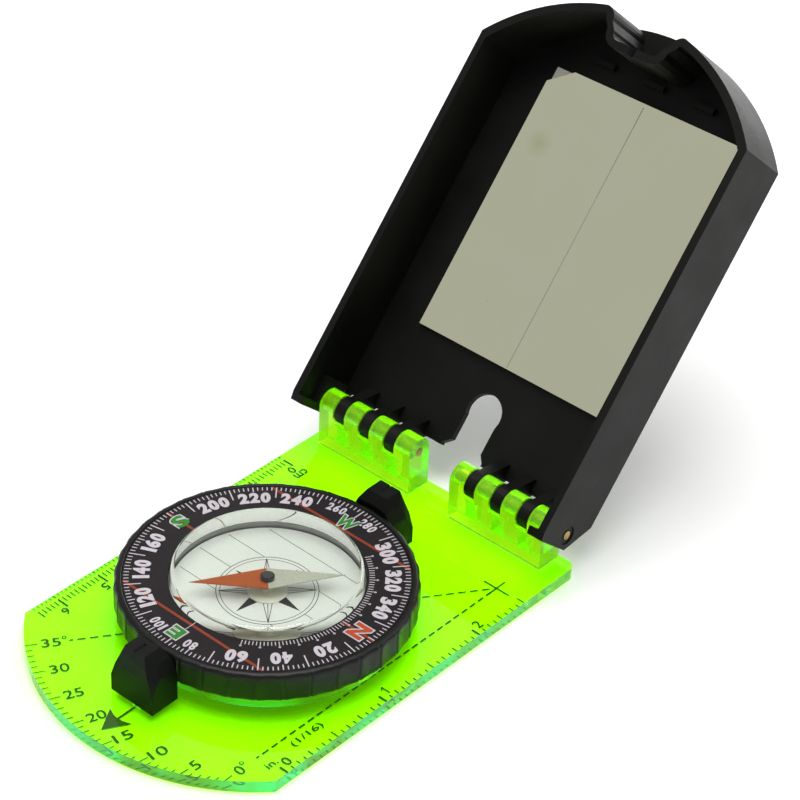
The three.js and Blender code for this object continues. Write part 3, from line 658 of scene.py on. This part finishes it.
# Bearing, distance from the middle, height and width of each letter's white ground.
LETTERS = {"N": (0, 22.5, 4.0, 4.4), "E": (91.6, 22.7, 3.4, 3.4), "S": (180, 22.5, 3.9, 3.5),
           "W": (270, 21.3, 3.9, 4.5)}
LETTER_BORDER = 0.55  # how much smaller the coloured letter is than its white ground
ONE_ROOM, ONE_WIDTH = 0.62, 0.72  # the figure one takes less room, and fills less of it


def bearing(degrees):
    """The direction of a dial bearing: north at +X, clockwise from above."""
    return DIAL_TURN - math.radians(degrees)


def dial_digits(target, words, degrees, middle, height, digit_width, gap, weight):
    """Figures set round the dial, each digit turned to it, with their tops outward."""
    widths = [digit_width * (ONE_ROOM if d == "1" else 1.0) for d in words]
    total = sum(widths) + gap * (len(words) - 1)
    at = -total / 2
    for digit, width in zip(words, widths):
        along = at + width / 2
        angle = bearing(degrees) - along / middle
        drawn = width * (ONE_WIDTH if digit == "1" else 1.0)
        target.text(digit, (middle * math.cos(angle), middle * math.sin(angle)),
                    height, drawn, angle - math.pi / 2, weight)
        at += width + gap


def dial_letter(target, letter, border, weight):
    """One of N, E, S and W, with its top outward, smaller than its white ground by border."""
    degrees, radius, height, width = LETTERS[letter]
    angle = bearing(degrees)
    middle = (radius * math.cos(angle), radius * math.sin(angle))
    target.text(letter, middle, height - border, width - border, angle - math.pi / 2, weight)


def dial_print():
    """Red lines, degree scale, declination scale, figures and letters of the dial card."""
    centre = (DIAL.x, DIAL.y)
    outer = card_high.x - DIAL.x - CARD_MARGIN
    red = Print(centre)
    for offset in RED_LINES:
        half = math.sqrt(outer ** 2 - offset ** 2) + 0.1
        spans = [(-half, half)] if offset else [(-half, -CARD_INNER), (CARD_INNER, half)]
        for a, b in spans:
            red.stroke((a, offset), (b, offset), RED_LINE_WIDTH)
    red.build("dial_red_lines", card_high.z + 0.008, RED_LINE_INK, "bezel")

    white = Print(centre)
    for degrees in range(0, 360, 2):
        size = {10: "long", 0: "middle"}.get(degrees % 20, "short")
        start, width = TICKS[size]
        white.spoke(bearing(degrees), start, outer, width)
    for degrees in range(-DECLINATION_REACH, DECLINATION_REACH + 1, 2):
        end = DECLINATION_LONG if degrees % 10 == 0 else DECLINATION_SHORT
        angle = bearing(degrees)
        white.spoke(angle, DECLINATION_START, end, 0.17)
        if degrees % 10 == 0:
            white.dot((end * math.cos(angle), end * math.sin(angle)), 0.24)
    white.spoke(bearing(90), 18.4, 21.6, 0.14)
    for degrees in LARGE_FIGURES:
        dial_digits(white, str(degrees), degrees, 22.95, 3.1, 1.9, 0.2, 0.06)
    for degrees, shift in SMALL_FIGURES:
        dial_digits(white, str(degrees), degrees + shift, 23.6, 2.2, 1.12, 0.24, 0.04)
    for letter in LETTERS:
        dial_letter(white, letter, 0.0, 0.095)
    white.build("dial_white_print", card_high.z + 0.03, WHITE_INK, "bezel")

    for name, chosen, material in (("dial_north_letter", "N", RED_INK),
                                   ("dial_other_letters", "ESW", GREEN_INK)):
        colour = Print(centre)
        for letter in chosen:
            dial_letter(colour, letter, LETTER_BORDER, 0.04)
        colour.build(name, card_high.z + 0.055, material, "bezel")


NORTH_LINES = (-12.4, -6.2, 0.0, 6.2, 12.4)  # their distances from the capsule's middle
FLOOR_PRINT, NORTH_LINE_END = 17.4, 16.9  # radii of the white ground and of the lines' ends
OUTER_RING, INNER_RING = 9.1, 8.4  # radii of the rose's two rings
HAIRLINE = 0.11
POINT_TIP, POINT_FOOT, POINT_HALF = 7.9, 3.6, 0.95  # the rose's four solid points
RAY_TIP, RAY_FOOT, RAY_HALF = 8.7, 3.2, 0.85  # and the four drawn in line between them


def capsule_print():
    """The white ground, the rose and the north lines on the capsule's floor."""
    top = seal_high.z + 0.03  # just over the seal, which it hides
    ground = Print((DIAL.x, DIAL.y))
    ground.dot((0, 0), FLOOR_PRINT, 120)
    ground.build("capsule_floor_white_print", top, FLOOR_WHITE, "capsule")
    rose = Print((DIAL.x, DIAL.y))
    for offset in NORTH_LINES:
        half = math.sqrt(NORTH_LINE_END ** 2 - offset ** 2)
        if abs(offset) < OUTER_RING:
            stop = math.sqrt(OUTER_RING ** 2 - offset ** 2)
            rose.stroke((-half, offset), (-stop, offset), HAIRLINE)
            rose.stroke((stop, offset), (half, offset), HAIRLINE)
        else:
            rose.stroke((-half, offset), (half, offset), HAIRLINE)
    rose.circle((0, 0), OUTER_RING, 0.13)
    rose.circle((0, 0), INNER_RING, HAIRLINE)
    for quarter in range(4):
        angle = quarter * math.pi / 2
        c, s = math.cos(angle), math.sin(angle)
        tip, foot = (POINT_TIP * c, POINT_TIP * s), (POINT_FOOT * c, POINT_FOOT * s)
        for side in (-1, 1):
            corner = (foot[0] - side * POINT_HALF * s, foot[1] + side * POINT_HALF * c)
            rose.area([tip, corner, foot][::side])
        angle += math.pi / 4
        c, s = math.cos(angle), math.sin(angle)
        tip, foot = (RAY_TIP * c, RAY_TIP * s), (RAY_FOOT * c, RAY_FOOT * s)
        for side in (-1, 0, 1):
            rose.stroke((foot[0] - side * RAY_HALF * s, foot[1] + side * RAY_HALF * c), tip, 0.12)
    rose.build("capsule_rose_print", top + 0.03, BLACK_INK, "capsule")


INCH_ZERO = 74.4  # the inch scale's zero, in front of the hinge axis
CM_ZERO = 63.74  # the centimetre scale's zero, from the inch scale's
RULER_EDGE = 31.45  # of both rulers, from the centreline
INCH = 25.4
CROSS = (24.48, 63.09)  # the protractor's centre, from the inch scale's zero
# Radius of the protractor's scale at every fifth degree, and how far its figures stand inside.
PROTRACTOR_RADII = (72.55, 76.92, 80.65, 83.64, 85.71, 87.34, 88.15, 88.33)
FIGURE_BACK = (4.1, 3.8, 4.4, 4.4, 4.7, 4.7, 4.9, 4.8)
DASH, DASH_GAP = 1.55, 0.75


def figure_one(target, centre, height, reading):
    """A figure one with its flag, which Blender's own font hardly has."""
    c, s = math.cos(reading), math.sin(reading)

    def at(along, up):
        return (centre[0] + (along * c - up * s) * height,
                centre[1] + (along * s + up * c) * height)

    target.stroke(at(0.1, -0.5), at(0.1, 0.5), 0.13 * height)
    target.stroke(at(0.1, 0.44), at(-0.18, 0.2), 0.11 * height)


def inch_ruler(scales):
    """Two and a half inches in sixteenths, along the plate's right edge."""
    reading = math.pi / 2
    for i in range(41):
        length = {16: 2.5, 8: 2.35, 4: 1.9, 2: 1.6}.get(math.gcd(i, 16), 1.4)
        y = INCH * i / 16
        scales.stroke((RULER_EDGE, y), (RULER_EDGE - length, y), 0.46 if i % 16 == 0 else 0.27)
        if i == 16:
            figure_one(scales, (28.7, y + 1.9), 2.1, reading)
        elif i % 16 == 0:
            scales.text(str(i // 16), (28.7, y + 1.9), 2.1, 1.5, reading, 0.014)
    scales.text("in.", (27.3, -0.4), 1.5, 2.5, reading, 0.012)
    scales.text("(1/16)", (26.7, 9.3), 1.9, 7.6, reading, 0.012)


def centimetre_ruler(scales):
    """Six and a half centimetres in millimetres, along the plate's left edge."""
    reading = -math.pi / 2
    for i in range(66):
        y = CM_ZERO - i
        length, width = 1.5, 0.24
        if i % 10 == 0:
            length, width = 2.7, 0.4
        elif i % 5 == 0:
            length, width = 2.0, 0.26
        scales.stroke((-RULER_EDGE, y), (-RULER_EDGE + length, y), width)
        if i == 10:
            figure_one(scales, (-28.0, y - 1.2), 2.0, reading)
        elif i % 10 == 0:
            scales.text(str(i // 10), (-28.0, y - 1.2), 2.0, 1.35, reading, 0.014)
    scales.text("cm", (-26.0, 63.0), 1.6, 3.1, reading, 0.012)


def protractor(scales):
    """Degrees 0 to 35 about the cross, along the plate's rounded front edge."""
    for degrees in range(36):
        fifth, part = divmod(degrees, 5)
        nearer, farther = PROTRACTOR_RADII[fifth], PROTRACTOR_RADII[min(fifth + 1, 7)]
        end = nearer + (farther - nearer) * part / 5
        angle = math.radians(degrees)
        c, s = -math.sin(angle), -math.cos(angle)
        start = end - (2.3 if part == 0 else 1.25)
        scales.stroke((CROSS[0] + c * start, CROSS[1] + s * start),
                      (CROSS[0] + c * end, CROSS[1] + s * end), 0.22)
        if part:
            continue
        words = str(degrees)
        width = 1.6 * len(words) + 0.4 * (len(words) - 1)
        middle = end - FIGURE_BACK[fifth]
        reading = math.atan2(-s, -c)
        scales.text(words, (CROSS[0] + c * middle, CROSS[1] + s * middle), 2.3, width, reading,
                    0.008)
        if degrees in (0, 35):
            mark, raised = middle - width / 2 - 0.7, -1.0
            scales.circle((CROSS[0] + c * mark + raised * math.cos(reading - math.pi / 2),
                           CROSS[1] + s * mark + raised * math.sin(reading - math.pi / 2)),
                          0.36, 0.2, 20)


def plate_print():
    """Rulers, protractor and sighting marks on the plate's underside."""
    scales = Print((0.0, -INCH_ZERO))
    inch_ruler(scales)
    centimetre_ruler(scales)
    protractor(scales)
    scales.dashes((CROSS[0], 61.6), (CROSS[0], -1.2), 0.38, DASH, DASH_GAP)
    c, s = -math.sin(math.radians(35)), -math.cos(math.radians(35))
    scales.dashes((CROSS[0] + 1.3 * c, CROSS[1] + 1.3 * s),
                  (CROSS[0] + 80.2 * c, CROSS[1] + 80.2 * s), 0.34, DASH, DASH_GAP)
    scales.stroke((CROSS[0] - 3.1, CROSS[1]), (CROSS[0] + 3.1, CROSS[1]), 0.34)
    scales.stroke((CROSS[0], CROSS[1] - 2.5), (CROSS[0], CROSS[1] + 2.5), 0.34)
    scales.build("plate_scales_print", 0.05, PLATE_INK, "base")

    arrow = Print((0.0, -INCH_ZERO))
    arrow.stroke((0, -6.6), (0, -11.0), 0.42)
    arrow.area([(0, -14.95), (2.85, -10.1), (1.2, -10.75), (0, -10.95), (-1.2, -10.75),
                (-2.85, -10.1)])
    arrow.stroke((0, 60.2), (0, 64.4), 0.42)
    arrow.build("plate_sighting_arrow", 0.08, TEAL_INK, "base")


def mirror_line():
    """The sight line down the middle of the mirror's face, drawn on the closed cover."""
    inverse = COVER.inverted()
    glass = [inverse @ (Vector(v.co) / MM) for v in nodes["mirror"].data.vertices]
    left, right = min(p.x for p in glass), max(p.x for p in glass)
    near, far = max(p.y for p in glass), min(p.y for p in glass)
    face = min(p.z for p in glass)
    line = Print()
    middle = (left + right) / 2
    line.stroke((middle, near - 0.2), (middle, far + 0.8), 0.14)
    line.build("mirror_sight_line", face - 0.03, SIGHT_LINE, "cover", COVER)


dial_print()
capsule_print()
plate_print()
mirror_line()


# ---------------------------------------------------------------- floor, light and camera

FLOOR_HALF = 3.0  # metres
FLOOR_GAP = 0.0002  # metres under the plate, so that the two faces never coincide


def floor():
    """The studio's plain pale floor."""
    data = bpy.data.meshes.new("studio_floor")
    half, height = FLOOR_HALF, cad_box[0].z - FLOOR_GAP
    data.from_pydata([(-half, -half, height), (half, -half, height), (half, half, height),
                      (-half, half, height)], [], [(0, 1, 2, 3)])
    look = Look("studio_floor_white")
    tone = look.blend(look.noise(2.0, 2), rgb(0.93, 0.93, 0.925), rgb(0.95, 0.95, 0.945))
    data.materials.append(look.done(look.surface(Base_Color=tone, Roughness=0.9,
                                                 Specular_IOR_Level=0.1)))
    plane = bpy.data.objects.new("studio_floor", data)
    bpy.context.scene.collection.objects.link(plane)


def soft_light(name, place, aim, width, depth, watts):
    data = bpy.data.lights.new(name, "AREA")
    data.shape = "RECTANGLE"
    data.size, data.size_y = width, depth
    data.energy = watts
    lamp = bpy.data.objects.new(name, data)
    lamp.location = place
    lamp.rotation_mode = "QUATERNION"
    lamp.rotation_quaternion = (Vector(aim) - Vector(place)).to_track_quat("-Z", "Y")
    bpy.context.scene.collection.objects.link(lamp)


def sky(level):
    world = bpy.data.worlds.new("studio_surround")
    world.use_nodes = True
    background = world.node_tree.nodes["Background"]
    background.inputs["Color"].default_value = rgb(0.985, 1.0, 0.975)
    background.inputs["Strength"].default_value = level
    bpy.context.scene.world = world


def camera():
    """An 800 by 800 view from the front right, slightly rolled, from about 0.58 m away."""
    azimuth, elevation, roll = (math.radians(a) for a in (40.46, 35.81, 2.53))
    distance, focal_pixels, frame_pixels = 0.57631, 2823.32, 800
    target = Vector((-0.02854, 0.02065, 0.00133))
    back = Vector((math.sin(azimuth) * math.cos(elevation),
                   -math.cos(azimuth) * math.cos(elevation), math.sin(elevation)))
    right = Vector((math.cos(azimuth), math.sin(azimuth), 0.0))
    up = back.cross(right)
    turned_right = right * math.cos(roll) + up * math.sin(roll)
    turned_up = up * math.cos(roll) - right * math.sin(roll)
    data = bpy.data.cameras.new("camera")
    data.sensor_width = 36.0
    data.lens = focal_pixels / frame_pixels * data.sensor_width
    data.clip_start, data.clip_end = 0.01, 20.0
    eye = bpy.data.objects.new("camera", data)
    place = Matrix((turned_right, turned_up, back)).transposed().to_4x4()
    place.translation = target + back * distance
    eye.matrix_world = place
    bpy.context.scene.collection.objects.link(eye)
    bpy.context.scene.camera = eye


floor()
sky(0.42)
soft_light("overhead_softbox", (0.0, -0.02, 1.1), (0.0, -0.02, 0.0), 0.8, 0.8, 9.4)
soft_light("back_softbox", (0.55, 0.85, 0.75), (0.0, 0.06, 0.02), 0.6, 0.6, 1.9)
soft_light("low_back_softbox", (-0.12, 0.5, 0.16), (0.0, 0.04, 0.0), 0.5, 0.2, 1.7)
camera()
bpy.context.scene.view_settings.view_transform = "Standard"
